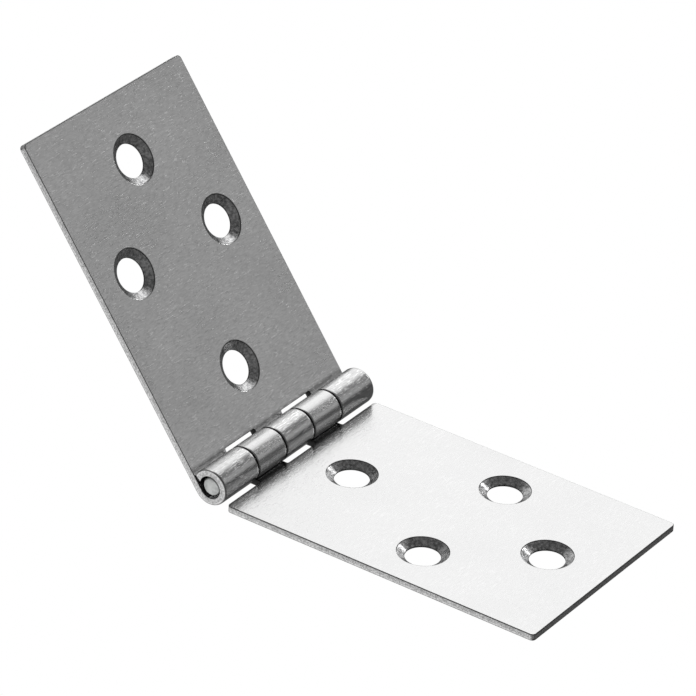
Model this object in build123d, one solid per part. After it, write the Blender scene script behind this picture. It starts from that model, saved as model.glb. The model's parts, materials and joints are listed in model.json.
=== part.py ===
from build123d import *
import math
import os

# Butt hinge of two stamped leaves rolled round one pin. Millimetres and degrees.
# The pin axis is the Y axis, with the origin at mid-length. The two-knuckle leaf
# lies along +X with its back face down; the three-knuckle leaf is raised.

# Driving sizes
leaf_width = 34.0            # along the pin
leaf_reach = 51.0            # pin axis to the tip of either leaf
sheet = 1.0                  # thickness of both leaves
barrel_radius = 2.6          # outside of the rolled knuckles
opening = 127.0              # angle between the inner faces of the leaves at rest
end_knuckle = 7.5            # length of the first and the last knuckle
corner_radius = 0.6          # outer corners of the leaves, seen from above

# Screw holes of either leaf, countersunk on the inner face
hole_radius = 2.4
countersink_radius = 3.45
countersink_land = 0.2       # straight part of the hole below the cone
centre_holes = (11.0, 42.0)  # distance from the pin axis, on the centreline
side_holes = 29.0            # distance from the pin axis of the pair beside it
side_spacing = 19.3          # between the centres of that pair

# Clearances
knuckle_gap = 0.2            # between neighbouring knuckles
notch_clearance = 0.25       # between a barrel and the notch that it turns in
seam_gap = 0.1               # between the end of the rolled sheet and its own leaf
pin_slack = 0.3              # bore radius less pin radius
pin_gap = 0.14               # left on the side to which the pin has settled

# Details
curl_lean = 17.0             # lean of the end face of the rolled sheet
pin_dome = 0.2               # height of the rounded pin ends
pin_recess = 0.05            # pin tips below the barrel ends

# Derived sizes
bore_radius = barrel_radius - sheet
pin_radius = bore_radius - pin_slack
pin_offset = pin_slack - pin_gap
inner_knuckle = (leaf_width - 2 * end_knuckle) / 3
half_width = leaf_width / 2
back_face = -barrel_radius
inner_face = back_face + sheet
notch_edge = barrel_radius + notch_clearance
margin = 1.0                 # overshoot of the cutting solids

# Boundaries between the five knuckles, from the near end to the far end
boundaries = [
    -half_width,
    -half_width + end_knuckle,
    -half_width + end_knuckle + inner_knuckle,
    half_width - end_knuckle - inner_knuckle,
    half_width - end_knuckle,
    half_width,
]


def rolled_section():
    """Section of a leaf lying along +X: flat sheet, then the curl back onto itself."""
    outer_corner_z = inner_face + seam_gap
    outer_corner_x = math.sqrt(barrel_radius**2 - outer_corner_z**2)
    slope = math.tan(math.radians(curl_lean))
    past_x = outer_corner_x + margin
    opening_cut = Polygon(
        (past_x, outer_corner_z - margin * slope),
        (0, outer_corner_z + outer_corner_x * slope),
        (0, back_face - margin),
        (past_x, back_face - margin),
        align=None,
    )
    ring = Circle(barrel_radius) - Circle(bore_radius)
    flat = Polygon(
        (0, back_face),
        (leaf_reach, back_face),
        (leaf_reach, inner_face),
        (0, inner_face),
        align=None,
    )
    return ring - opening_cut + flat


def block(x_min, x_max, y_min, y_max):
    """Box between the given limits that passes right through the barrel in height."""
    height = 2 * (barrel_radius + margin)
    centre = ((x_min + x_max) / 2, (y_min + y_max) / 2, 0)
    return Pos(*centre) * Box(x_max - x_min, y_max - y_min, height)


def notch(index):
    """Space in a leaf for the other leaf's knuckle, open at the ends of the barrel."""
    low = boundaries[index]
    high = boundaries[index + 1]
    low -= margin if index == 0 else knuckle_gap / 2
    high += margin if index == len(boundaries) - 2 else knuckle_gap / 2
    return block(-barrel_radius - margin, notch_edge, low, high)


def screw_hole(distance, side):
    """Cutter of one countersunk hole, its wide end on the inner face."""
    cone_height = sheet - countersink_land
    cone_bottom = back_face + countersink_land
    bore = Pos(distance, side, back_face) * Cylinder(
        hole_radius,
        2 * sheet,
        align=(Align.CENTER, Align.CENTER, Align.CENTER),
    )
    cone = Pos(distance, side, cone_bottom) * Cone(
        hole_radius,
        countersink_radius,
        cone_height,
        align=(Align.CENTER, Align.CENTER, Align.MIN),
    )
    over = Pos(distance, side, inner_face) * Cylinder(
        countersink_radius,
        margin,
        align=(Align.CENTER, Align.CENTER, Align.MIN),
    )
    return bore + cone + over


def round_corners(leaf):
    """Rounds the outer corners of a leaf, at its tip and beside its notches."""
    radius = min(corner_radius, end_knuckle / 3)
    upright = leaf.edges().filter_by(Axis.Z)
    on_side = upright.filter_by(lambda e: abs(abs(e.center().Y) - half_width) < 0.01)
    clear_of_barrel = on_side.filter_by(lambda e: e.center().X > barrel_radius)
    return fillet(clear_of_barrel, radius)


def flat_leaf(other_knuckles):
    """One leaf lying along +X, with notches where the other leaf has its knuckles."""
    section = Plane.XZ * rolled_section()
    leaf = extrude(section, amount=half_width, both=True)
    for index in other_knuckles:
        leaf -= notch(index)
    for distance in centre_holes:
        leaf -= screw_hole(distance, 0)
    for side in (-side_spacing / 2, side_spacing / 2):
        leaf -= screw_hole(side_holes, side)
    return round_corners(leaf)


def make_two_knuckle_leaf():
    """The leaf that lies flat, rolled into the second and fourth knuckles."""
    return flat_leaf(other_knuckles=(0, 2, 4))


def make_three_knuckle_leaf():
    """The raised leaf, rolled into the first, third and fifth knuckles."""
    leaf = flat_leaf(other_knuckles=(1, 3))
    facing = mirror(leaf, about=Plane.YZ)
    return Rot(0, 180 - opening, 0) * facing


def make_pin():
    """Headless pin with rounded ends, settled against the raised leaf's side."""
    length = leaf_width - 2 * pin_recess
    shaft = Rot(90, 0, 0) * Cylinder(pin_radius, length)
    ends = shaft.edges().filter_by(GeomType.CIRCLE)
    rounding = min(pin_dome, 0.4 * pin_radius)
    shaft = fillet(ends, rounding)
    tilt = math.radians(180 - opening)
    return Pos(pin_offset * math.sin(tilt), 0, pin_offset * math.cos(tilt)) * shaft


os.makedirs("parts", exist_ok=True)
export_step(make_two_knuckle_leaf(), "parts/two_knuckle_leaf.step")
export_step(make_three_knuckle_leaf(), "parts/three_knuckle_leaf.step")
export_step(make_pin(), "parts/pin.step")
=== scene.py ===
"""Looks of a pressed steel butt hinge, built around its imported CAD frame."""

import json
import logging
import math
from dataclasses import dataclass
from enum import Enum
from typing import Any, Iterable

import bmesh
import bpy
from mathutils import Matrix, Vector
from mathutils.geometry import delaunay_2d_cdt


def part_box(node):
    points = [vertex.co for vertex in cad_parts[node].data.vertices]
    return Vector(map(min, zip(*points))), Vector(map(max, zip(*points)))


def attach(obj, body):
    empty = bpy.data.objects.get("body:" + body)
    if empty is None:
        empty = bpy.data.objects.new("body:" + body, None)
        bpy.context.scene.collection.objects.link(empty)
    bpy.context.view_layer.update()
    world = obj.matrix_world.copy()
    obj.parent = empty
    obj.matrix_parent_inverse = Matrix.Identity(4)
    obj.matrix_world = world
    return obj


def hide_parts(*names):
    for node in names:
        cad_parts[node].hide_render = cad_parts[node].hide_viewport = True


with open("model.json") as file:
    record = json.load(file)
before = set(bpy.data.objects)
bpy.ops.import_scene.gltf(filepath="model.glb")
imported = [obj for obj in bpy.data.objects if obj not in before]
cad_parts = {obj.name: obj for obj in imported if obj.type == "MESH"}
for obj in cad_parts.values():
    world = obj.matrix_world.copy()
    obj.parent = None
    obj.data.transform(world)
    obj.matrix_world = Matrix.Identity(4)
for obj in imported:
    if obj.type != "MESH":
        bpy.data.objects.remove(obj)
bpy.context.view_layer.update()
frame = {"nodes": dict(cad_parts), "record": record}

LOG = logging.getLogger("hinge")
MM = 0.001
MM_PER_METRE = 1000.0
NUMBER = "NodeSocketFloat"
VECTOR = "NodeSocketVector"
Plan = tuple[float, float]
Range = tuple[float, float]
Triple = tuple[float, float, float]
Socket = bpy.types.NodeSocket
Groups = dict[str, bpy.types.NodeTree]


class Finish(Enum):
    """Material slots of a leaf's mesh."""

    FACE = 0
    SHEARED = 1
    COUNTERSINK = 2


# Node wiring


class Wiring:
    """Adds nodes to one node tree and links them."""

    def __init__(self, tree: bpy.types.NodeTree) -> None:
        """Keeps the tree that the nodes go into."""
        self.tree = tree

    def node(
        self, kind: str, inputs: dict[str | int, Any] | None = None, **settings: Any
    ) -> bpy.types.Node:
        """Adds one node.

        Args:
            kind: The node's class name.
            inputs: Values or output sockets for its inputs, by name or index.
            settings: The node's own properties.

        Returns:
            The new node.
        """
        made = self.tree.nodes.new(kind)
        for key, value in settings.items():
            setattr(made, key, value)
        for key, value in (inputs or {}).items():
            self.feed(made.inputs[key], value)
        return made

    def feed(self, socket: Socket, value: Any) -> None:
        """Links an output socket to an input, or sets the input's own value.

        Args:
            socket: The input to feed.
            value: An output socket, or a plain value.
        """
        if isinstance(value, Socket):
            self.tree.links.new(value, socket)
        else:
            socket.default_value = value

    def attribute(self, name: str) -> Socket:
        """Reads one of the mesh's own values for each point."""
        return self.node("ShaderNodeAttribute", attribute_name=name).outputs["Fac"]

    def math(self, operation: str, first: Any, second: Any = 0.0, third: Any = 0.0) -> Socket:
        """Adds a Math node, whose operands are numbers or output sockets."""
        return self.node("ShaderNodeMath", {0: first, 1: second, 2: third}, operation=operation).outputs[0]

    def plus(self, first: Any, second: Any) -> Socket:
        """Adds two values."""
        return self.math("ADD", first, second)

    def minus(self, first: Any, second: Any) -> Socket:
        """Takes the second value from the first."""
        return self.math("SUBTRACT", first, second)

    def times(self, first: Any, second: Any) -> Socket:
        """Multiplies two values."""
        return self.math("MULTIPLY", first, second)

    def ramp(self, value: Any, start: float, end: float, low: Any = 0.0, high: Any = 1.0) -> Socket:
        """Maps a value from start and end onto low and high, and clamps it."""
        sockets = {0: value, 1: start, 2: end, 3: low, 4: high}
        return self.node("ShaderNodeMapRange", sockets, clamp=True).outputs[0]

    def noise(self, vector: Any, scale: Any, detail: float, roughness: float) -> Socket:
        """Adds a 3-D noise texture and gives its value, from 0 to 1."""
        sockets = {"Vector": vector, "Scale": scale, "Detail": detail, "Roughness": roughness}
        return self.node("ShaderNodeTexNoise", sockets).outputs[0]

    def mixed(self, factor: Any, low: Any, high: Any) -> Socket:
        """Mixes two colours, with the factor as the share of the second."""
        return self.node("ShaderNodeMix", {0: factor, 6: low, 7: high}, data_type="RGBA").outputs[2]

    def colour(self, factor: Any, low: Triple, high: Triple) -> Socket:
        """Mixes two plain colours."""
        return self.mixed(factor, (*low, 1.0), (*high, 1.0))

    def painted_shade(self, colour: Socket, mask: Any, shade: float) -> Socket:
        """Paints shade: takes a colour towards a grey where a mask says so."""
        return self.mixed(mask, colour, (shade, shade, shade, 1.0))


def new_tree(
    name: str, kind: str, takes: dict[str, str], gives: dict[str, str]
) -> tuple[Wiring, dict[str, Socket], dict[str, Socket]]:
    """Makes a node group with named sockets.

    Args:
        name: The group's name.
        kind: ShaderNodeTree or GeometryNodeTree.
        takes: Socket type of each input, by name.
        gives: Socket type of each output, by name.

    Returns:
        The wiring of the new tree, its input node's outputs and its output node's inputs, by name.
    """
    tree = bpy.data.node_groups.new(name, kind)
    for socket_name, socket_type in takes.items():
        tree.interface.new_socket(name=socket_name, in_out="INPUT", socket_type=socket_type)
    for socket_name, socket_type in gives.items():
        tree.interface.new_socket(name=socket_name, in_out="OUTPUT", socket_type=socket_type)
    wires = Wiring(tree)
    source = wires.node("NodeGroupInput").outputs
    sink = wires.node("NodeGroupOutput").inputs
    return wires, {n: source[n] for n in takes}, {n: sink[n] for n in gives}


# Shared shader groups


def grain_group() -> bpy.types.NodeTree:
    """Rolling grain of sheet steel: fine lines and scattered longer streaks.

    Returns:
        A shader group whose Vector is already stretched along the grain.
    """
    wires, take, give = new_tree(
        "rolled_grain",
        "ShaderNodeTree",
        {"Vector": VECTOR, "Fine Scale": NUMBER, "Streak Scale": NUMBER, "Streak Share": NUMBER},
        {"Grain": NUMBER, "Streaks": NUMBER},
    )
    fine = wires.noise(take["Vector"], take["Fine Scale"], 4.0, 0.65)
    wires.feed(give["Grain"], wires.ramp(fine, 0.28, 0.72))
    broad = wires.noise(take["Vector"], take["Streak Scale"], 2.0, 0.6)
    threshold = wires.minus(0.78, take["Streak Share"])
    above = wires.minus(broad, threshold)
    wires.feed(give["Streaks"], wires.ramp(above, 0.0, 0.07))
    return wires.tree


def handling_group() -> bpy.types.NodeTree:
    """Faint cloudy variation left by handling and cleaning.

    Returns:
        A shader group that gives a value around 0.5.
    """
    wires, take, give = new_tree(
        "handling_marks",
        "ShaderNodeTree",
        {"Vector": VECTOR, "Scale": NUMBER},
        {"Cloud": NUMBER, "Specks": NUMBER},
    )
    wires.feed(give["Cloud"], wires.noise(take["Vector"], take["Scale"], 3.0, 0.5))
    speck_scale = wires.times(take["Scale"], 14.0)
    specks = wires.noise(take["Vector"], speck_scale, 2.0, 0.5)
    wires.feed(give["Specks"], wires.ramp(specks, 0.66, 0.74))
    return wires.tree


def cut_group() -> bpy.types.NodeTree:
    """Marks of cutting: lines across a coordinate, broken up by noise.

    Returns:
        A shader group that gives a height and a mottled value.
    """
    wires, take, give = new_tree(
        "cutting_marks",
        "ShaderNodeTree",
        {"Vector": VECTOR, "Across": NUMBER, "Lines": NUMBER, "Mottle Scale": NUMBER},
        {"Height": NUMBER, "Mottle": NUMBER},
    )
    mottle = wires.noise(take["Vector"], take["Mottle Scale"], 4.0, 0.6)
    along = wires.times(take["Across"], take["Lines"])
    point = wires.node("ShaderNodeCombineXYZ", {0: along})
    lines = wires.noise(point.outputs[0], 1.0, 2.0, 0.6)
    wires.feed(give["Height"], wires.times(lines, wires.ramp(mottle, 0.25, 0.6, 0.45, 1.0)))
    wires.feed(give["Mottle"], wires.ramp(mottle, 0.36, 0.64))
    return wires.tree


# Finishes


class Metal:
    """Metallic material that is being wired: one Principled BSDF and what feeds it."""

    def __init__(self, name: str, groups: Groups) -> None:
        """Starts the material.

        Args:
            name: Its name.
            groups: The shared shader groups, by name.
        """
        self.material = bpy.data.materials.new(name)
        self.material.use_nodes = True
        self.material.node_tree.nodes.clear()
        self.groups = groups
        self.wires = Wiring(self.material.node_tree)
        self.shader = self.wires.node("ShaderNodeBsdfPrincipled", {"Metallic": 1.0})
        self.wires.node("ShaderNodeOutputMaterial", {"Surface": self.shader.outputs[0]})
        self.place = self.wires.node("ShaderNodeTexCoord").outputs["Object"]

    def marks(self, group: str, inputs: dict[str, Any]) -> Any:
        """Places a shared group, fed by name, and gives its outputs."""
        return self.wires.node("ShaderNodeGroup", inputs, node_tree=self.groups[group]).outputs

    def finish(self, colour: Any, roughness: Any, height: Any, distance: float) -> bpy.types.Material:
        """Feeds the shader.

        Args:
            colour: Its base colour.
            roughness: Its roughness.
            height: Relief of the surface, from 0 to about 1.
            distance: How far a height of 1 stands out, in metres.

        Returns:
            The material.
        """
        bump = self.wires.node("ShaderNodeBump", {"Height": height, "Distance": distance})
        feeds = {"Base Color": colour, "Roughness": roughness, "Normal": bump.outputs[0]}
        for name, socket in feeds.items():
            self.wires.feed(self.shader.inputs[name], socket)
        return self.material


@dataclass(frozen=True)
class RolledSteel:
    """Bright rolled sheet, with its grain along the pin, and painted shade in the gaps, on the die roll and
    beside the barrel.
    """

    name: str
    dark: Triple
    light: Triple
    roughness: float = 0.17
    cloud_scale: float = 90.0
    cloud_range: Range = (0.3, 0.7)
    grain_stretch: float = 0.13
    fine_scale: float = 8200.0
    grain_share: float = 0.50
    grain_base: float = 0.08
    grain_height: float = 4.0e-6
    streak_scale: float = 6000.0
    streak_share: float = 0.225
    streak_light: float = 0.55
    streak_roughness: float = 0.08
    streak_height: float = 0.8
    # The gap_ and roll_ values place and tone painted shade: in the gaps between knuckles and on the die
    # roll of the edges.
    gap_range: Range = (0.05, 0.13)
    gap_shade: float = 0.03
    roll_start: Range = (0.02, 0.06)
    roll_end: Range = (0.5, 0.6)
    roll_share: float = 0.8
    roll_shade: float = 0.22
    # The crevice_ values place and tone the painted shade beside the barrel.
    crevice_start: Range = (2.3 * MM, 2.5 * MM)
    crevice_end: Range = (2.85 * MM, 3.35 * MM)
    crevice_depth: Range = (0.6, 0.9)
    crevice_shade: float = 0.07
    crevice_share: float = 0.72
    leaf_direction: Triple = (1.0, 0.0, 0.0)

    def crevice(self, metal: Metal, depth: Socket) -> Socket:
        """Finds where shade is painted: where the barrel meets the leaf, and at the tucked end of the curl.

        Args:
            metal: The material.
            depth: Height in the sheet, from 0 at the back to 1 at the inner face.

        Returns:
            A mask.
        """
        wires = metal.wires
        sockets = {0: metal.place, 1: self.leaf_direction}
        along = wires.node("ShaderNodeVectorMath", sockets, operation="DOT_PRODUCT").outputs["Value"]
        on_leaf = wires.ramp(along, *self.crevice_end, 1.0, 0.0)
        on_leaf = wires.times(on_leaf, wires.ramp(depth, *self.crevice_depth))
        on_leaf = wires.times(on_leaf, wires.ramp(along, *self.crevice_start))
        return wires.math("MAXIMUM", on_leaf, wires.ramp(wires.attribute("tucked"), 0.0, 0.5))

    def build(self, groups: Groups) -> bpy.types.Material:
        """Makes the material.

        Args:
            groups: The shared shader groups, by name.

        Returns:
            The material.
        """
        metal = Metal(self.name, groups)
        wires = metal.wires
        stretch = (1.0, self.grain_stretch, 1.0)
        stretched = wires.node("ShaderNodeMapping", {"Vector": metal.place, "Scale": stretch})
        grain = metal.marks(
            "grain",
            {
                "Vector": stretched.outputs[0],
                "Fine Scale": self.fine_scale,
                "Streak Scale": self.streak_scale,
                "Streak Share": self.streak_share,
            },
        )
        cloud = metal.marks("handling", {"Vector": metal.place, "Scale": self.cloud_scale})["Cloud"]
        shade = wires.math("MULTIPLY_ADD", grain["Grain"], self.grain_share, self.grain_base)
        shade = wires.math("MULTIPLY_ADD", grain["Streaks"], self.streak_light, shade)
        depth = wires.attribute("depth")
        # painted shade: near black in the gaps between the knuckles, and a darker band on the die roll
        gap = wires.times(wires.attribute("recessed"), wires.ramp(depth, *self.gap_range))
        rolled = wires.ramp(depth, *self.roll_end, self.roll_share, 0.0)
        rolled = wires.times(wires.ramp(depth, *self.roll_start), rolled)
        # painted shade: leaf and barrel darkened where they meet, and at the tucked end of the curl
        crevice_painted_shade = wires.times(self.crevice(metal, depth), self.crevice_share)
        colour = wires.painted_shade(wires.colour(shade, self.dark, self.light), rolled, self.roll_shade)
        colour = wires.painted_shade(colour, crevice_painted_shade, self.crevice_shade)
        colour = wires.painted_shade(colour, gap, self.gap_shade)
        rough = wires.ramp(cloud, *self.cloud_range, self.roughness - 0.03, self.roughness + 0.04)
        rough = wires.math("MULTIPLY_ADD", grain["Streaks"], self.streak_roughness, rough)
        height = wires.math("MULTIPLY_ADD", grain["Streaks"], self.streak_height, grain["Grain"])
        return metal.finish(colour, rough, height, self.grain_height)


@dataclass(frozen=True)
class ShearedSteel:
    """Punched edge of the sheet: a burnished band below a rough broken zone, with painted shade in dark
    lines at its top and bottom and in the notches.
    """

    name: str
    dark: Triple
    light: Triple
    line_from: float
    line_shade: float
    burnished_share: float = 0.35
    burnished_roughness: float = 0.30
    broken_roughness: float = 0.52
    blend: float = 0.08
    ridges: float = 9.0
    ridge_share: float = 0.4
    mottle_scale: float = 5200.0
    mottle_light: float = 0.8
    mottle_base: float = 0.15
    mark_height: float = 1.4e-5
    # The outer_ values and gap_shade tone painted shade at the bottom of the edge and in the notches.
    outer_range: Range = (0.13, 0.2)
    outer_share: float = 0.85
    outer_shade: float = 0.16
    gap_shade: float = 0.03

    def build(self, groups: Groups) -> bpy.types.Material:
        """Makes the material.

        Args:
            groups: The shared shader groups, by name.

        Returns:
            The material.
        """
        metal = Metal(self.name, groups)
        wires = metal.wires
        depth = wires.attribute("depth")
        inputs = {"Vector": metal.place, "Across": depth, "Lines": self.ridges}
        marks = metal.marks("cut", {**inputs, "Mottle Scale": self.mottle_scale})
        broken = wires.ramp(depth, self.burnished_share - self.blend, self.burnished_share + self.blend)
        shade = wires.math("MULTIPLY_ADD", marks["Mottle"], self.mottle_light, self.mottle_base)
        # painted shade: a dark line along the top of the edge, a darker band at its bottom, and near black
        # in the notches, gaps and on the curl's end face
        line = wires.ramp(depth, self.line_from - 0.04, self.line_from + 0.03)
        outer = wires.ramp(depth, *self.outer_range, self.outer_share, 0.0)
        colour = wires.painted_shade(wires.colour(shade, self.dark, self.light), line, self.line_shade)
        colour = wires.painted_shade(colour, outer, self.outer_shade)
        colour = wires.painted_shade(colour, wires.attribute("notched"), self.gap_shade)
        rough = wires.ramp(broken, 0.0, 1.0, self.burnished_roughness, self.broken_roughness)
        height = wires.times(marks["Mottle"], wires.ramp(broken, 0.0, 1.0, 0.25, 1.0))
        height = wires.math("MULTIPLY_ADD", marks["Height"], self.ridge_share, height)
        return metal.finish(colour, rough, height, self.mark_height)


@dataclass(frozen=True)
class CountersunkSteel:
    """Freshly cut cone of a screw hole, with turning rings, and painted shade on its land and lip."""

    name: str
    dark: Triple = (0.34, 0.34, 0.345)
    light: Triple = (1.0, 1.0, 1.0)
    roughness: float = 0.21
    rings_per_mm: float = 14.0
    ring_height: float = 5.0e-6
    mottle_scale: float = 2600.0
    # The land_ and lip_ values place and tone painted shade in the hole.
    land_share: float = 0.2
    land_shade: float = 0.04
    lip_share: float = 0.93
    lip_shade: float = 0.12

    def build(self, groups: Groups) -> bpy.types.Material:
        """Makes the material.

        Args:
            groups: The shared shader groups, by name.

        Returns:
            The material.
        """
        metal = Metal(self.name, groups)
        wires = metal.wires
        inputs = {"Vector": metal.place, "Across": wires.attribute("turned"), "Lines": self.rings_per_mm}
        marks = metal.marks("cut", {**inputs, "Mottle Scale": self.mottle_scale})
        depth = wires.attribute("depth")
        # painted shade: the land near black, and a dark line on the lip
        land = wires.ramp(depth, self.land_share - 0.01, self.land_share + 0.04, 1.0, 0.0)
        lip = wires.ramp(depth, self.lip_share - 0.02, self.lip_share + 0.01)
        colour = wires.painted_shade(wires.colour(marks["Mottle"], self.dark, self.light), lip, self.lip_shade)
        colour = wires.painted_shade(colour, land, self.land_shade)
        rough = wires.ramp(marks["Mottle"], 0.0, 1.0, self.roughness - 0.06, self.roughness + 0.08)
        return metal.finish(colour, rough, marks["Height"], self.ring_height)


@dataclass(frozen=True)
class DrawnWire:
    """Cropped length of drawn wire, with matt speckled ends."""

    name: str
    dark: Triple = (0.34, 0.35, 0.35)
    light: Triple = (0.72, 0.73, 0.72)
    roughness: float = 0.42
    cloud_scale: float = 900.0
    speckle_height: float = 8.0e-6

    def build(self, groups: Groups) -> bpy.types.Material:
        """Makes the material.

        Args:
            groups: The shared shader groups, by name.

        Returns:
            The material.
        """
        metal = Metal(self.name, groups)
        wires = metal.wires
        marks = metal.marks("handling", {"Vector": metal.place, "Scale": self.cloud_scale})
        colour = wires.colour(wires.ramp(marks["Cloud"], 0.25, 0.62), self.dark, self.light)
        rough = wires.ramp(marks["Cloud"], 0.3, 0.7, self.roughness - 0.05, self.roughness + 0.1)
        height = wires.math("MULTIPLY_ADD", marks["Specks"], -0.6, marks["Cloud"])
        return metal.finish(colour, rough, height, self.speckle_height)


# Sizes read from the frame


@dataclass(frozen=True)
class HingeSizes:
    """Sizes that both leaves share, in metres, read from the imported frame."""

    barrel_radius: float
    reach: float
    half_width: float
    sheet: float
    notch_edge: float
    knuckle_ends: tuple[float, ...]
    hole_radius: float
    holes: tuple[Plan, ...]
    tilt: float
    knuckle_gap: float = 0.2 * MM
    seam_gap: float = 0.1 * MM
    curl_lean: float = math.radians(17.0)
    countersink_radius: float = 3.45 * MM
    land: float = 0.2 * MM

    @classmethod
    def from_frame(cls) -> "HingeSizes":
        """Reads the sizes from the flat leaf and from the mounts.

        Returns:
            The sizes.
        """
        low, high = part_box("two_knuckle_leaf")
        points = [v.co for v in frame["nodes"]["two_knuckle_leaf"].data.vertices]
        barrel_radius = -low.x
        tip_band, back_band, side_band = MM, 0.5 * MM, 2 * MM
        tip = [p.z for p in points if p.x > high.x - tip_band]
        root = [p.x for p in points if p.z < low.z + back_band and high.y - abs(p.y) < side_band]
        knuckle_ends = sorted({round(p.y, 6) for p in points if p.x < -0.5 * barrel_radius})
        mounts = {m["name"]: m for m in frame["record"]["mounts"]}
        centre = mounts["flat_leaf_centre_screws"]
        side = mounts["flat_leaf_side_screws"]
        half_x = centre["dims"]["spacing_x_mm"] * MM / 2
        half_y = side["dims"]["spacing_y_mm"] * MM / 2
        out = mounts["raised_leaf_back"]["axis"]
        return cls(
            barrel_radius=barrel_radius,
            reach=high.x,
            half_width=high.y,
            sheet=max(tip) - min(tip),
            notch_edge=min(root),
            knuckle_ends=tuple(knuckle_ends),
            hole_radius=centre["dims"]["hole_r_mm"] * MM,
            holes=(
                (centre["pos_m"][0] - half_x, 0.0),
                (side["pos_m"][0], half_y),
                (centre["pos_m"][0] + half_x, 0.0),
                (side["pos_m"][0], -half_y),
            ),
            tilt=math.atan2(-out[0], -out[2]),
        )

    @property
    def flat_spans(self) -> tuple[Plan, ...]:
        """Stretches along the pin of the flat leaf's two knuckles."""
        ends = self.knuckle_ends
        return ((ends[0], ends[1]), (ends[2], ends[3]))

    @property
    def raised_spans(self) -> tuple[Plan, ...]:
        """Stretches along the pin of the raised leaf's three knuckles.

        Returns:
            The lower and upper end of each.
        """
        gap = self.knuckle_gap
        ends = self.knuckle_ends
        return (
            (-self.half_width, ends[0] - gap),
            (ends[1] + gap, ends[2] - gap),
            (ends[3] + gap, self.half_width),
        )


# Countersinks, made by geometry nodes


class WrappedGrid:
    """Geometry node tree that bends a grid by rule and repeats it on the points that come in."""

    seam_width: float = 1e-7

    def __init__(self, name: str, points: str, lengths: Iterable[str]) -> None:
        """Starts the tree with its grid.

        Args:
            name: The tree's name.
            points: Name of the input that takes the points.
            lengths: Names of the inputs that take a number.
        """
        takes = {points: "NodeSocketGeometry", **{length: NUMBER for length in lengths}}
        takes |= {"Segments": "NodeSocketInt", "Rows": "NodeSocketInt", "Material": "NodeSocketMaterial"}
        gives = {"Geometry": "NodeSocketGeometry"}
        self.wires, self.take, self.give = new_tree(name, "GeometryNodeTree", takes, gives)
        self.points = self.take[points]
        columns = self.wires.plus(self.take["Segments"], 1.0)
        sockets = {"Vertices X": columns, "Vertices Y": self.take["Rows"]}
        self.grid = self.wires.node("GeometryNodeMeshGrid", sockets).outputs["Mesh"]
        place = self.wires.node("GeometryNodeInputPosition").outputs[0]
        parts = self.wires.node("ShaderNodeSeparateXYZ", {0: place}).outputs
        self.angle = self.wires.times(self.wires.plus(parts[0], 0.5), 2 * math.pi)
        self.row = parts[1]

    def finish(self, mesh: Socket, place: Socket) -> bpy.types.NodeTree:
        """Moves the grid's points, closes its seam and repeats it.

        Args:
            mesh: The grid, with any marks on its points.
            place: New place of each point.

        Returns:
            The tree.
        """
        steps = (
            ("GeometryNodeSetPosition", "Geometry", {"Position": place}),
            ("GeometryNodeMergeByDistance", "Geometry", {"Distance": self.seam_width}),
            ("GeometryNodeInstanceOnPoints", "Instance", {"Points": self.points}),
            ("GeometryNodeRealizeInstances", "Geometry", {}),
            ("GeometryNodeSetMaterial", "Geometry", {"Material": self.take["Material"]}),
        )
        for kind, entry, inputs in steps:
            mesh = self.wires.node(kind, {entry: mesh, **inputs}).outputs[0]
        self.wires.feed(self.give["Geometry"], mesh)
        return self.wires.tree


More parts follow.
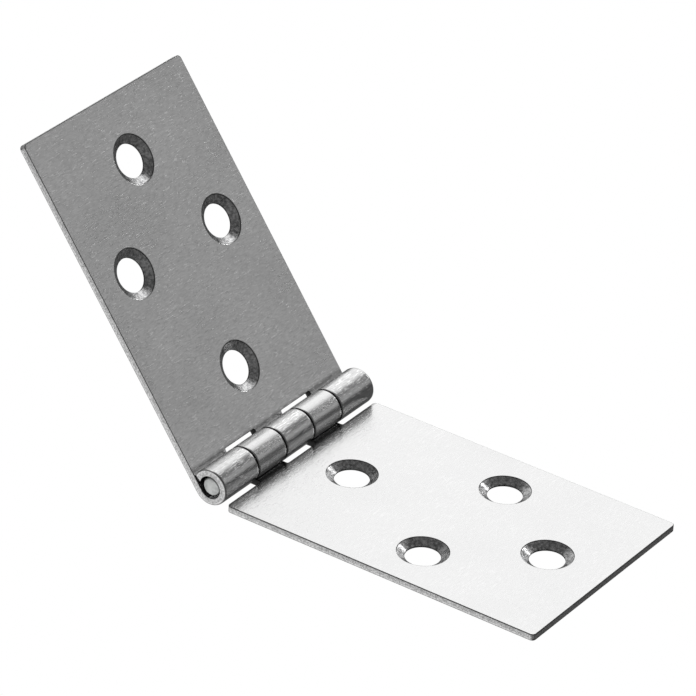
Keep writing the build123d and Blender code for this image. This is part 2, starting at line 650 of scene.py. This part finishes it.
@dataclass
class Countersinks:
    """Walls of the screw holes of one leaf, one on each hole centre."""

    sizes: HingeSizes
    lip: float = 0.08 * MM
    back_break: float = 0.04 * MM
    grooves: float = 9.0
    groove_depth: float = 0.008 * MM
    segments: int = 96
    rows: int = 49

    @property
    def front_radius(self) -> float:
        """Radius of the wall where it meets the inner face."""
        return self.sizes.countersink_radius + self.lip

    @property
    def back_radius(self) -> float:
        """Radius of the wall where it meets the back face."""
        return self.sizes.hole_radius + self.back_break

    def tree(self) -> bpy.types.NodeTree:
        """Builds the geometry node tree: one wall by rule, repeated on the points that come in.

        Returns:
            The tree, with named inputs for its sizes.
        """
        radii = ("Hole Radius", "Rim Radius")
        heights = ("Sheet", "Lip", "Land", "Back Break", "Grooves", "Groove Depth")
        grid = WrappedGrid("countersunk_walls", "Hole Centres", radii + heights)
        wires, take = grid.wires, grid.take
        down = wires.plus(grid.row, 0.5)
        lip_end, cone_end, land_end = 4 / 48, 40 / 48, 44 / 48
        on_lip = wires.ramp(down, 0.0, lip_end)
        on_cone = wires.ramp(down, lip_end, cone_end)
        on_land = wires.ramp(down, cone_end, land_end)
        on_back = wires.ramp(down, land_end, 1.0)
        minus, times, plus = wires.minus, wires.times, wires.plus
        cone_width = minus(take["Rim Radius"], take["Hole Radius"])
        cone_depth = minus(minus(take["Sheet"], take["Lip"]), take["Land"])
        turns = times(times(on_cone, take["Grooves"]), 2 * math.pi)
        groove = times(wires.math("SINE", turns), take["Groove Depth"])
        radius = plus(take["Rim Radius"], times(take["Lip"], minus(1.0, on_lip)))
        radius = minus(radius, times(cone_width, on_cone))
        radius = plus(radius, times(take["Back Break"], on_back))
        radius = plus(radius, groove)
        height = minus(take["Sheet"], times(take["Lip"], on_lip))
        height = minus(height, times(cone_depth, on_cone))
        height = minus(height, times(minus(take["Land"], take["Back Break"]), on_land))
        height = minus(height, times(take["Back Break"], on_back))
        ring_x = times(radius, wires.math("COSINE", grid.angle))
        ring_y = times(radius, wires.math("SINE", grid.angle))
        bent = wires.node("ShaderNodeCombineXYZ", {0: ring_x, 1: ring_y, 2: height})
        in_mm = times(radius, 1 / MM)
        marked = wires.node(
            "GeometryNodeStoreNamedAttribute",
            {"Geometry": grid.grid, "Name": "turned", "Value": in_mm},
            data_type="FLOAT",
            domain="POINT",
        )
        return grid.finish(marked.outputs[0], bent.outputs[0])

    def build(self, material: bpy.types.Material) -> bpy.types.Mesh:
        """Runs the tree on this leaf's hole centres.

        Args:
            material: Finish of the walls.

        Returns:
            A plain mesh of the walls, lying as the flat leaf does.
        """
        back = -self.sizes.barrel_radius
        centres = bpy.data.meshes.new("hole_centres")
        centres.from_pydata([(x, y, back) for x, y in self.sizes.holes], [], [])
        values = {
            "Hole Radius": self.sizes.hole_radius,
            "Rim Radius": self.sizes.countersink_radius,
            "Sheet": self.sizes.sheet,
            "Lip": self.lip,
            "Land": self.sizes.land,
            "Back Break": self.back_break,
            "Grooves": self.grooves,
            "Groove Depth": self.groove_depth,
            "Segments": self.segments,
            "Rows": self.rows,
            "Material": material,
        }
        return run_geometry_tree(self.tree(), centres, values)


def run_geometry_tree(
    tree: bpy.types.NodeTree, start: bpy.types.Mesh, values: dict[str, Any]
) -> bpy.types.Mesh:
    """Runs a geometry node tree on a mesh.

    Args:
        tree: The tree.
        start: The mesh that goes in.
        values: The modifier's inputs, by socket name.

    Returns:
        The resulting plain mesh.
    """
    carrier = bpy.data.objects.new("carrier", start)
    bpy.context.scene.collection.objects.link(carrier)
    modifier = carrier.modifiers.new("tree", "NODES")
    modifier.node_group = tree
    for item in tree.interface.items_tree:
        if item.in_out == "INPUT" and item.name in values:
            modifier[item.identifier] = values[item.name]
    graph = bpy.context.evaluated_depsgraph_get()
    made = bpy.data.meshes.new_from_object(
        carrier.evaluated_get(graph), preserve_all_data_layers=True, depsgraph=graph
    )
    bpy.data.objects.remove(carrier)
    return made


# Leaves


@dataclass(frozen=True)
class Corner:
    """Corner of a leaf's outline in its unrolled plan."""

    along: float
    across: float
    radius: float


@dataclass
class Leaf:
    """One stamped and rolled leaf, made from its unrolled plan."""

    name: str
    node: str
    body: str
    slot: str
    spans: tuple[Plan, ...]
    sizes: HingeSizes
    raised: bool = False
    corner_radius: float = 0.6 * MM
    notch_radius: float = 0.22 * MM
    curl_corner_radius: float = 0.46 * MM
    roll_width: float = 0.12 * MM
    roll_depth: float = 0.12 * MM
    front_break: float = 0.09 * MM
    shoulder_width: float = 0.16 * MM
    shoulder_depth: float = 0.03 * MM
    level_spacing: float = 0.07 * MM
    curl_steps: int = 96
    shoulder_steps: int = 3
    roll_steps: int = 6
    wall_steps: int = 3
    break_steps: int = 4
    corner_steps: int = 10
    small_corner_steps: int = 6
    small_corner: float = 0.5 * MM

    @property
    def sweep_back(self) -> float:
        """Angle that the back face turns through on its way round the barrel.

        Returns:
            The angle.
        """
        s = self.sizes
        drop = s.barrel_radius - s.sheet - s.seam_gap
        return 1.5 * math.pi + math.asin(drop / s.barrel_radius)

    @property
    def sweep_front(self) -> float:
        """Angle that the inner face turns through, up to the leaning end face.

        Returns:
            The angle, where the end face's line meets the circle of the bore.
        """
        s = self.sizes
        drop = s.barrel_radius - s.sheet - s.seam_gap
        out = math.sqrt(s.barrel_radius**2 - drop**2)
        slope = math.tan(s.curl_lean)
        bore = s.barrel_radius - s.sheet
        level = -drop + out * slope
        a = 1 + slope**2
        b = -2 * slope * level
        c = level**2 - bore**2
        x = (-b + math.sqrt(b * b - 4 * a * c)) / (2 * a)
        return 1.5 * math.pi + math.asin((slope * x - level) / bore)

    @property
    def curl_end(self) -> float:
        """Place of the end of the curl in the unrolled plan, measured along the back face."""
        return -self.sizes.barrel_radius * self.sweep_back

    def corners(self) -> list[Corner]:
        """Outline of the unrolled plan.

        Returns:
            Its corners, anticlockwise from the tip's near corner.
        """
        s = self.sizes
        half = s.half_width
        found = [Corner(s.reach, -half, self.corner_radius), Corner(s.reach, half, self.corner_radius)]
        if self.spans[-1][1] < half:
            found.append(Corner(s.notch_edge, half, self.corner_radius))
        for low, high in reversed(self.spans):
            if high < half:
                found.append(Corner(s.notch_edge, high, self.notch_radius))
            found.append(Corner(self.curl_end, high, self.curl_corner_radius))
            found.append(Corner(self.curl_end, low, self.curl_corner_radius))
            if low > -half:
                found.append(Corner(s.notch_edge, low, self.notch_radius))
        if self.spans[0][0] > -half:
            found.append(Corner(s.notch_edge, -half, self.corner_radius))
        return found

    def outline(self) -> list[Plan]:
        """Rounds the corners and divides the edges that run round the barrel.

        Returns:
            The outline's points.
        """
        corners = [Vector((c.along, c.across)) for c in self.corners()]
        radii = [c.radius for c in self.corners()]
        rounded: list[Vector] = []
        for i, corner in enumerate(corners):
            before = (corners[i - 1] - corner).normalized() * radii[i]
            after = (corners[(i + 1) % len(corners)] - corner).normalized() * radii[i]
            centre = corner + before + after
            steps = self.corner_steps if radii[i] > self.small_corner else self.small_corner_steps
            for k in range(steps + 1):
                turn = math.pi / 2 * k / steps
                rounded.append(centre - after * math.cos(turn) - before * math.sin(turn))
        levels = self.curl_levels()
        points: list[Plan] = []
        for i, start in enumerate(rounded):
            end = rounded[(i + 1) % len(rounded)]
            points.append((start.x, start.y))
            low, high = sorted((start.x, end.x))
            inside = [v for v in levels if low + self.level_spacing < v < high - self.level_spacing]
            if end.x < start.x:
                inside.reverse()
            for level in inside:
                share = (level - start.x) / (end.x - start.x)
                points.append((level, start.y + (end.y - start.y) * share))
        return points

    def curl_levels(self) -> list[float]:
        """Places in the plan, from the curl's end upwards, where the rolled strips are divided."""
        return [self.curl_end * (1 - k / self.curl_steps) for k in range(self.curl_steps + 1)]

    def profile(self) -> list[tuple[float, float]]:
        """Section of a cut edge.

        Returns:
            Inset and height of each ring, from the back face up to the inner face.
        """
        rings = []
        for k in range(self.shoulder_steps):
            share = k / self.shoulder_steps
            inset = self.roll_width + self.shoulder_width * (1 - share)
            rings.append((inset, self.shoulder_depth * share**2))
        for k in range(self.roll_steps + 1):
            turn = math.pi / 2 * k / self.roll_steps
            inset = self.roll_width * (1 - math.sin(turn))
            drop = (self.roll_depth - self.shoulder_depth) * (1 - math.cos(turn))
            rings.append((inset, self.shoulder_depth + drop))
        top = self.sizes.sheet - self.front_break
        for k in range(1, self.wall_steps + 1):
            rings.append((0.0, self.roll_depth + (top - self.roll_depth) * k / self.wall_steps))
        for k in range(1, self.break_steps + 1):
            turn = math.pi / 2 * k / self.break_steps
            inset = self.front_break * (1 - math.cos(turn))
            rings.append((inset, top + self.front_break * math.sin(turn)))
        return rings

    def roll(self, along: float, across: float, height: float) -> Vector:
        """Takes a point of the unrolled plan to its place on the flat-lying leaf.

        Args:
            along: Distance from the pin, negative on the stretch that is rolled.
            across: Place along the pin.
            height: Height above the back face.

        Returns:
            The point.
        """
        radius = self.sizes.barrel_radius
        if along >= 0:
            return Vector((along, across, height - radius))
        share = along / self.curl_end
        sweep = self.sweep_back + (self.sweep_front - self.sweep_back) * height / self.sizes.sheet
        turn = share * sweep
        reach = radius - height
        return Vector((-reach * math.sin(turn), across, -reach * math.cos(turn)))

    def place(self, point: Vector) -> Vector:
        """Takes a point of the flat-lying leaf to where this leaf is at rest.

        Args:
            point: The point.

        Returns:
            The same point, mirrored and turned about the pin if the leaf is raised.
        """
        if not self.raised:
            return point
        mirrored = Vector((-point.x, point.y, point.z))
        return Matrix.Rotation(self.sizes.tilt, 3, "Y") @ mirrored

    def build(self, walls: Countersinks, materials: dict[Finish, bpy.types.Material]) -> bpy.types.Object:
        """Makes the leaf's mesh and dresses it.

        Args:
            walls: The countersinks.
            materials: Its finishes.

        Returns:
            The leaf, riding on its body.
        """
        builder = SheetBuilder(self, walls)
        mesh = builder.mesh(walls.build(materials[Finish.COUNTERSINK]))
        for finish in Finish:
            mesh.materials.append(materials[finish])
        return finish_piece(self.name, mesh, self.body, self.node)


class SheetBuilder:
    """Turns a leaf's plan into a closed mesh."""

    support_width: float = 0.12 * MM
    # tuck_width, notch_margin and end_margin set where shade is painted: the tucked end of the curl, the
    # notches and the gaps.
    tuck_width: float = 2.1 * MM
    notch_margin: float = 0.3 * MM
    end_margin: float = 1.0 * MM
    curl_corner_clearance: float = 0.6 * MM
    same_level: float = 1e-8
    margin_share: float = 1.01
    hole_share: float = 0.999
    weld_distance: float = 1.5e-6
    rolled_rings: int = 6

    def __init__(self, leaf: Leaf, walls: Countersinks) -> None:
        """Starts with no points and no faces.

        Args:
            leaf: The leaf.
            walls: Its countersinks.
        """
        self.leaf = leaf
        self.walls = walls
        self.points: list[Vector] = []
        self.marks: dict[str, list[float]] = {
            name: [] for name in ("depth", "turned", "recessed", "tucked", "notched")
        }
        self.faces: list[tuple[int, ...]] = []
        self.finishes: list[int] = []

    def mark(self, **values: float) -> None:
        """Keeps the last point's own values, which are 0 where none is given."""
        for name, kept in self.marks.items():
            kept.append(values.get(name, 0.0))

    def add_point(self, along: float, across: float, height: float) -> int:
        """Adds one point of the plan.

        Args:
            along: Its distance from the pin.
            across: Its place along the pin.
            height: Its height above the back face.

        Returns:
            Its index.
        """
        self.points.append(self.leaf.roll(along, across, height))
        between = abs(across) < self.leaf.sizes.half_width - self.end_margin
        in_notch = along < self.leaf.sizes.notch_edge + self.notch_margin
        past_end = (along - self.leaf.curl_end) / self.tuck_width
        # recessed, notched and tucked only place painted shade in the finishes
        self.mark(
            depth=height / self.leaf.sizes.sheet,
            recessed=1.0 if along < 0 and between else 0.0,
            notched=1.0 if in_notch and between else 0.0,
            tucked=min(1.0, max(0.0, 1.0 - past_end)),
        )
        return len(self.points) - 1

    def add_face(self, corners: Iterable[int], finish: Finish) -> None:
        """Adds one face with its finish."""
        self.faces.append(tuple(corners))
        self.finishes.append(finish.value)

    def insets(self, outline: list[Plan]) -> list[Vector]:
        """Directions into the sheet at the outline's points.

        Args:
            outline: The outline, anticlockwise.

        Returns:
            One mitred vector for each point.
        """
        points = [Vector(p) for p in outline]
        found = []
        for i, point in enumerate(points):
            before = (point - points[i - 1]).normalized()
            after = (points[(i + 1) % len(points)] - point).normalized()
            first = Vector((-before.y, before.x))
            second = Vector((-after.y, after.x))
            found.append((first + second) / (1 + first.dot(second)))
        return found

    def hole_ring(self, centre: Plan, radius: float) -> list[Plan]:
        """Divides a circle round a hole as its countersink is divided.

        Args:
            centre: The hole's centre.
            radius: Radius of the circle.

        Returns:
            The circle's points.
        """
        count = self.walls.segments
        turns = [2 * math.pi * k / count for k in range(count)]
        return [(centre[0] + radius * math.cos(t), centre[1] + radius * math.sin(t)) for t in turns]

    def fill(self, ring: list[Plan], ring_ids: list[int], height: float, radius: float, up: bool) -> None:
        """Fills one face of the sheet between its outline and its holes.

        Args:
            ring: The inset outline.
            ring_ids: Indices of the outline's points.
            height: Height of the face above the back face.
            radius: Radius of the holes in this face.
            up: Whether the face looks away from the back.
        """
        flat = list(ring)
        ids = list(ring_ids)
        edges = [(i, (i + 1) % len(ring)) for i in range(len(ring))]
        for centre in self.leaf.sizes.holes:
            for reach in (radius, radius + self.support_width):
                circle = self.hole_ring(centre, reach)
                start = len(flat)
                flat += circle
                ids += [self.add_point(x, y, height) for x, y in circle]
                edges += [(start + k, start + (k + 1) % len(circle)) for k in range(len(circle))]
        edges += self.cross_edges(ring)
        verts = [Vector(p) * MM_PER_METRE for p in flat]
        result = delaunay_2d_cdt(verts, edges, [], 0, 1e-6, True)
        where = [ids[origin[0]] for origin in result[3]]
        for triangle in result[2]:
            spot = sum((result[0][k] for k in triangle), Vector((0, 0))) / (3 * MM_PER_METRE)
            if self.in_sheet(spot, ring, radius):
                corners = [where[k] for k in triangle]
                self.add_face(corners if up else reversed(corners), Finish.FACE)

    def cross_edges(self, ring: list[Plan]) -> list[tuple[int, int]]:
        """Edges that cross the rolled strips at each step of the curl.

        Args:
            ring: The inset outline.

        Returns:
            Pairs of indices into the ring.
        """
        margin = (self.leaf.roll_width + self.leaf.shoulder_width) * self.margin_share
        found = []
        first = self.leaf.curl_end + self.curl_corner_clearance
        levels = [v for v in self.leaf.curl_levels() if v > first]
        by_level: dict[int, list[int]] = {}
        for i, (along, _) in enumerate(ring):
            for j, level in enumerate(levels):
                if abs(along - level) < self.same_level:
                    by_level.setdefault(j, []).append(i)
        for members in by_level.values():
            for low, high in self.leaf.spans:
                pair = [i for i in members if low - margin < ring[i][1] < high + margin]
                if len(pair) == 2:
                    found.append((pair[0], pair[1]))
        return found

    def in_sheet(self, spot: Vector, ring: list[Plan], radius: float) -> bool:
        """Finds whether a spot of the plan is inside the outline and outside the holes.

        Args:
            spot: The spot.
            ring: The outline.
            radius: Radius of the holes.

        Returns:
            Whether it is in the sheet.
        """
        for centre in self.leaf.sizes.holes:
            if (spot - Vector(centre)).length < radius * self.hole_share:
                return False
        inside = False
        for i, (x, y) in enumerate(ring):
            before_x, before_y = ring[i - 1]
            if (y > spot.y) != (before_y > spot.y):
                crossing = x + (spot.y - y) * (before_x - x) / (before_y - y)
                inside ^= spot.x < crossing
        return inside

    def mesh(self, wall_mesh: bpy.types.Mesh) -> bpy.types.Mesh:
        """Makes the closed mesh of the leaf.

        Args:
            wall_mesh: The countersinks, lying as the flat leaf does.

        Returns:
            The mesh, in the leaf's place at rest.
        """
        outline = self.leaf.outline()
        insets = self.insets(outline)
        rings: list[list[Plan]] = []
        ring_ids: list[list[int]] = []
        profile = self.leaf.profile()
        for inset, height in profile:
            ring = [(p[0] + v.x * inset, p[1] + v.y * inset) for p, v in zip(outline, insets)]
            rings.append(ring)
            ring_ids.append([self.add_point(x, y, height) for x, y in ring])
        for level, (below, above) in enumerate(zip(ring_ids, ring_ids[1:])):
            finish = Finish.FACE if level < self.rolled_rings else Finish.SHEARED
            for i in range(len(below)):
                k = (i + 1) % len(below)
                self.add_face((below[i], below[k], above[k], above[i]), finish)
        self.fill(rings[0], ring_ids[0], 0.0, self.walls.back_radius, up=False)
        self.fill(rings[-1], ring_ids[-1], self.leaf.sizes.sheet, self.walls.front_radius, up=True)
        self.add_walls(wall_mesh)
        return self.weld()

    def add_walls(self, wall_mesh: bpy.types.Mesh) -> None:
        """Adds the countersinks' points and faces.

        Args:
            wall_mesh: The countersinks, which are removed afterwards.
        """
        start = len(self.points)
        back = -self.leaf.sizes.barrel_radius
        values = wall_mesh.attributes["turned"].data
        for vertex in wall_mesh.vertices:
            self.points.append(vertex.co.copy())
            depth = (vertex.co.z - back) / self.leaf.sizes.sheet
            self.mark(depth=depth, turned=values[vertex.index].value)
        for polygon in wall_mesh.polygons:
            self.add_face([start + i for i in polygon.vertices], Finish.COUNTERSINK)
        bpy.data.meshes.remove(wall_mesh)

    def weld(self) -> bpy.types.Mesh:
        """Puts the points in place, joins what meets, and turns the faces outwards.

        Returns:
            The mesh.
        """
        mesh = bpy.data.meshes.new(self.leaf.name)
        mesh.from_pydata([self.leaf.place(p) for p in self.points], [], self.faces)
        mesh.polygons.foreach_set("material_index", self.finishes)
        for name, values in self.marks.items():
            mesh.attributes.new(name, "FLOAT", "POINT").data.foreach_set("value", values)
        work = bmesh.new()
        work.from_mesh(mesh)
        bmesh.ops.remove_doubles(work, verts=work.verts, dist=self.weld_distance)
        bmesh.ops.recalc_face_normals(work, faces=work.faces)
        open_edges = sum(1 for e in work.edges if len(e.link_faces) != 2)
        LOG.info("%s: %d faces, %d open edges", self.leaf.name, len(work.faces), open_edges)
        work.to_mesh(mesh)
        work.free()
        return mesh


def finish_piece(name: str, mesh: bpy.types.Mesh, body: str, node: str) -> bpy.types.Object:
    """Shades a mesh, puts it on its body, and lets it stand for its CAD node.

    Args:
        name: The piece's name.
        mesh: Its mesh, in place.
        body: The CAD body that it rides on.
        node: The CAD node that it stands for.

    Returns:
        The piece.
    """
    piece = bpy.data.objects.new(name, mesh)
    bpy.context.scene.collection.objects.link(piece)
    mesh.shade_smooth()
    weighted = piece.modifiers.new("weighted", "WEIGHTED_NORMAL")
    weighted.weight = 60
    graph = bpy.context.evaluated_depsgraph_get()
    piece.data = bpy.data.meshes.new_from_object(
        piece.evaluated_get(graph), preserve_all_data_layers=True, depsgraph=graph
    )
    piece.modifiers.clear()
    piece.data.name = name
    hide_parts(node)
    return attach(piece, body)


# Pin


@dataclass
class Pin:
    """Headless pin, made by a geometry node tree that turns its outline."""

    name: str = "pin_wire"
    node: str = "pin"
    body: str = "swinging_leaf"
    slot: str = "pin_steel"
    rounding: float = 0.28 * MM
    crown: float = 0.06 * MM
    segments: int = 72
    rows: int = 61

    def tree(self) -> bpy.types.NodeTree:
        """Builds the tree: a grid wrapped round the Y axis, with rounded and crowned ends.

        Returns:
            The tree, with named inputs for its sizes.
        """
        grid = WrappedGrid("rounded_pin", "Centre", ("Radius", "Half Length", "Rounding", "Crown"))
        wires, take = grid.wires, grid.take
        minus, times, plus = wires.minus, wires.times, wires.plus
        side = wires.math("SIGN", grid.row)
        out = times(wires.math("ABSOLUTE", grid.row), 2.0)
        shaft_end, turn_end = 0.1, 0.6
        on_shaft = wires.ramp(out, 0.0, shaft_end)
        turn = wires.ramp(out, shaft_end, turn_end, 0.0, math.pi / 2)
        on_disc = wires.ramp(out, turn_end, 1.0)
        shrink = times(take["Rounding"], minus(1.0, wires.math("COSINE", turn)))
        flat = minus(take["Radius"], take["Rounding"])
        radius = minus(minus(take["Radius"], shrink), times(flat, on_disc))
        bulge = times(take["Crown"], wires.math("SINE", times(on_disc, math.pi / 2)))
        straight = minus(minus(take["Half Length"], take["Rounding"]), take["Crown"])
        height = plus(times(straight, on_shaft), times(take["Rounding"], wires.math("SINE", turn)))
        height = times(plus(height, bulge), side)
        ring_x = times(radius, wires.math("COSINE", grid.angle))
        ring_z = times(radius, wires.math("SINE", grid.angle))
        bent = wires.node("ShaderNodeCombineXYZ", {0: ring_x, 1: height, 2: ring_z})
        return grid.finish(grid.grid, bent.outputs[0])

    def build(self, material: bpy.types.Material) -> bpy.types.Object:
        """Makes the pin where the frame has it.

        Args:
            material: Its finish.

        Returns:
            The pin, riding with the raised leaf.
        """
        low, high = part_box(self.node)
        centre = bpy.data.meshes.new("pin_centre")
        centre.from_pydata([tuple((low + high) / 2)], [], [])
        values = {
            "Radius": (high.x - low.x) / 2,
            "Half Length": (high.y - low.y) / 2,
            "Rounding": self.rounding,
            "Crown": self.crown,
            "Segments": self.segments,
            "Rows": self.rows,
            "Material": material,
        }
        mesh = run_geometry_tree(self.tree(), centre, values)
        work = bmesh.new()
        work.from_mesh(mesh)
        bmesh.ops.recalc_face_normals(work, faces=work.faces)
        work.to_mesh(mesh)
        work.free()
        return finish_piece(self.name, mesh, self.body, self.node)


# Studio


@dataclass(frozen=True)
class SoftSpot:
    """Round patch of soft light in the surroundings, far from the hinge."""

    towards: tuple[float, float, float]
    inner: float
    outer: float
    radiance: float

    def glow(self, wires: Wiring, direction: Socket) -> Socket:
        """Works out the spot's light in a direction.

        Args:
            wires: Wiring of the world's tree.
            direction: The direction, of length one.

        Returns:
            Its radiance, fading from the inner to the outer angle.
        """
        middle = tuple(Vector(self.towards).normalized())
        dot = wires.node("ShaderNodeVectorMath", {0: direction, 1: middle}, operation="DOT_PRODUCT")
        fade = wires.node(
            "ShaderNodeMapRange",
            {
                0: dot.outputs["Value"],
                1: math.cos(math.radians(self.outer)),
                2: math.cos(math.radians(self.inner)),
                4: self.radiance,
            },
            interpolation_type="SMOOTHSTEP",
        )
        return fade.outputs[0]


@dataclass
class Studio:
    """Pale floor, soft surroundings, a bounce card and the camera."""

    sizes: HingeSizes
    surroundings: float = 0.10
    floor_shade: float = 0.30
    floor_clearance: float = 3.0 * MM
    floor_size: float = 4.0
    card_low: Plan = (-0.22, -0.22)
    card_right: float = 0.07
    card_shade: float = 0.5
    card_lift: float = 1.0 * MM
    card_gap: float = 0.2 * MM
    card_glow: float = 0.72
    azimuth: float = 33.36
    elevation: float = 30.53
    roll: float = 3.36
    distance: float = 0.6724
    lens: float = 265.6
    sensor_width: float = 36.0
    aim: tuple[float, float, float] = (0.00912, 0.00008, 0.017)

    def spots(self) -> list[SoftSpot]:
        """Lists the soft patches of light.

        Returns:
            Each patch, with its direction, inner and outer angle in degrees, and radiance.
        """
        return [
            SoftSpot((-0.42, 0.72, 0.55), 14.0, 40.0, 1.20),
            SoftSpot((0.62, 0.72, 0.36), 6.0, 14.0, 0.385),
            SoftSpot((0.26, 0.72, 0.65), 6.0, 22.0, 0.10),
            SoftSpot((-0.95, 0.15, 0.35), 8.0, 30.0, 0.35),
            SoftSpot((0.90, -0.35, 0.50), 12.0, 34.0, 0.05),
            SoftSpot((-0.50, -0.86, 0.05), 8.0, 20.0, 0.90),
            SoftSpot((0.256, 0.848, 0.464), 2.5, 6.5, 6.0),
        ]

    def build_world(self) -> None:
        """Lights the metal by soft patches on dark grey, and shows the camera a white background."""
        world = bpy.data.worlds.new("surroundings")
        world.use_nodes = True
        world.node_tree.nodes.clear()
        wires = Wiring(world.node_tree)
        direction = wires.node("ShaderNodeTexCoord").outputs["Generated"]
        light: Any = self.surroundings
        for spot in self.spots():
            light = wires.plus(light, spot.glow(wires, direction))
        seen = wires.node("ShaderNodeLightPath").outputs["Is Camera Ray"]
        strength = wires.ramp(seen, 0.0, 1.0, light, 1.0)
        glow = wires.node("ShaderNodeBackground", {"Strength": strength})
        wires.feed(glow.inputs["Color"], (1.0, 1.0, 1.0, 1.0))
        wires.node("ShaderNodeOutputWorld", {"Surface": glow.outputs[0]})
        bpy.context.scene.world = world

    def lay(
        self, name: str, low: Plan, high: Plan, level: float, material: bpy.types.Material
    ) -> bpy.types.Object:
        """Lays a flat rectangle that bounces light and that the camera doesn't see.

        Args:
            name: Its name.
            low: Its lowest x and y.
            high: Its highest x and y.
            level: Its height.
            material: Its finish.

        Returns:
            The rectangle, which isn't part of the object.
        """
        mesh = bpy.data.meshes.new(name)
        corners = [(low[0], low[1]), (high[0], low[1]), (high[0], high[1]), (low[0], high[1])]
        mesh.from_pydata([(x, y, level) for x, y in corners], [], [(0, 1, 2, 3)])
        mesh.materials.append(material)
        made = bpy.data.objects.new(name, mesh)
        bpy.context.scene.collection.objects.link(made)
        made.visible_camera = False
        return made

    def matt(self, name: str, shade: float, glow: float) -> bpy.types.Material:
        """Makes a matt material with some light of its own.

        Args:
            name: Its name.
            shade: Its grey.
            glow: Its emission strength.

        Returns:
            The material.
        """
        material = bpy.data.materials.new(name)
        material.use_nodes = True
        shader = material.node_tree.nodes["Principled BSDF"]
        feeds = {
            "Base Color": (shade, shade, shade, 1.0),
            "Roughness": 0.9,
            "Specular IOR Level": 0.0,
            "Emission Color": (1.0, 1.0, 1.0, 1.0),
            "Emission Strength": glow,
        }
        for socket_name, value in feeds.items():
            shader.inputs[socket_name].default_value = value
        return material

    def build_floor(self) -> None:
        """Lays the floor clear of the raised leaf's lowest place, and a bounce card in front.

        Both only reflect and bounce light: the camera sees past them to the white surroundings.
        """
        level = -self.sizes.reach - self.floor_clearance
        front = -self.sizes.half_width - self.card_gap
        half = self.floor_size / 2
        floor_material = self.matt("pale_floor", self.floor_shade, 0.0)
        card_material = self.matt("bounce_card", self.card_shade, self.card_glow)
        self.lay("floor", (-half, -half), (half, half), level, floor_material)
        card_level = level + self.card_lift
        self.lay("bounce_card", self.card_low, (self.card_right, front), card_level, card_material)

    def build_camera(self) -> None:
        """Sets up the camera, with its small roll."""
        azimuth = math.radians(self.azimuth)
        elevation = math.radians(self.elevation)
        back = Vector(
            (
                math.sin(azimuth) * math.cos(elevation),
                -math.cos(azimuth) * math.cos(elevation),
                math.sin(elevation),
            )
        )
        data = bpy.data.cameras.new("camera")
        data.lens = self.lens
        data.sensor_width = self.sensor_width
        camera = bpy.data.objects.new("camera", data)
        bpy.context.scene.collection.objects.link(camera)
        level = (-back).to_track_quat("-Z", "Y").to_matrix()
        turned = level @ Matrix.Rotation(math.radians(self.roll), 3, "Z")
        place = Vector(self.aim) + back * self.distance
        camera.matrix_world = Matrix.Translation(place) @ turned.to_4x4()
        bpy.context.scene.camera = camera

    def build(self) -> None:
        """Sets up everything around the hinge, and shows colours without a film curve."""
        self.build_camera()
        self.build_world()
        self.build_floor()
        bpy.context.scene.view_settings.view_transform = "Standard"


def build_finishes(
    sizes: HingeSizes,
) -> tuple[list[dict[Finish, bpy.types.Material]], bpy.types.Material]:
    """Makes every finish of the hinge.

    Args:
        sizes: The hinge's sizes.

    Returns:
        The finishes of the flat leaf and of the raised leaf, and the pin's finish.
    """
    groups = {"grain": grain_group(), "handling": handling_group(), "cut": cut_group()}
    cone = CountersunkSteel("countersunk_steel").build(groups)
    up_the_leaf = (-math.cos(sizes.tilt), 0.0, math.sin(sizes.tilt))
    # Both leaves are the same steel. Their copies of each finish differ in tone, contrast and painted shade
    # as painted light, standing for the different light that falls on each leaf.
    flat_face = RolledSteel("flat_rolled_steel", (0.65,) * 3, (0.76,) * 3, roughness=0.20)
    flat_edge = ShearedSteel("flat_sheared_steel", (0.34,) * 3, (0.92,) * 3, line_from=0.87, line_shade=0.2)
    raised_face = RolledSteel(
        "raised_rolled_steel",
        (0.44,) * 3,
        (1.0,) * 3,
        grain_height=6.0e-6,
        crevice_share=0.42,
        leaf_direction=up_the_leaf,
    )
    raised_edge = ShearedSteel(
        "raised_sheared_steel", (0.40,) * 3, (0.98,) * 3, line_from=0.96, line_shade=0.04
    )
    leaves = [
        {Finish.FACE: face.build(groups), Finish.SHEARED: edge.build(groups), Finish.COUNTERSINK: cone}
        for face, edge in ((flat_face, flat_edge), (raised_face, raised_edge))
    ]
    return leaves, DrawnWire("drawn_wire").build(groups)


def main() -> None:
    """Builds the hinge and its studio."""
    logging.basicConfig(level=logging.INFO, format="%(name)s: %(message)s")
    sizes = HingeSizes.from_frame()
    LOG.info("sizes: %s", sizes)
    leaf_finishes, wire = build_finishes(sizes)
    Studio(sizes).build()
    walls = Countersinks(sizes)
    flat = Leaf(
        name="flat_leaf",
        node="two_knuckle_leaf",
        body="fixed_leaf",
        slot="flat_leaf_steel",
        spans=sizes.flat_spans,
        sizes=sizes,
    )
    raised = Leaf(
        name="raised_leaf",
        node="three_knuckle_leaf",
        body="swinging_leaf",
        slot="raised_leaf_steel",
        spans=sizes.raised_spans,
        sizes=sizes,
        raised=True,
    )
    for leaf, finishes in zip((flat, raised), leaf_finishes):
        piece = leaf.build(walls, finishes)
        LOG.info("%s rides on %s", piece.name, leaf.body)
    pin = Pin().build(wire)


if __name__ == "__main__":
    main()
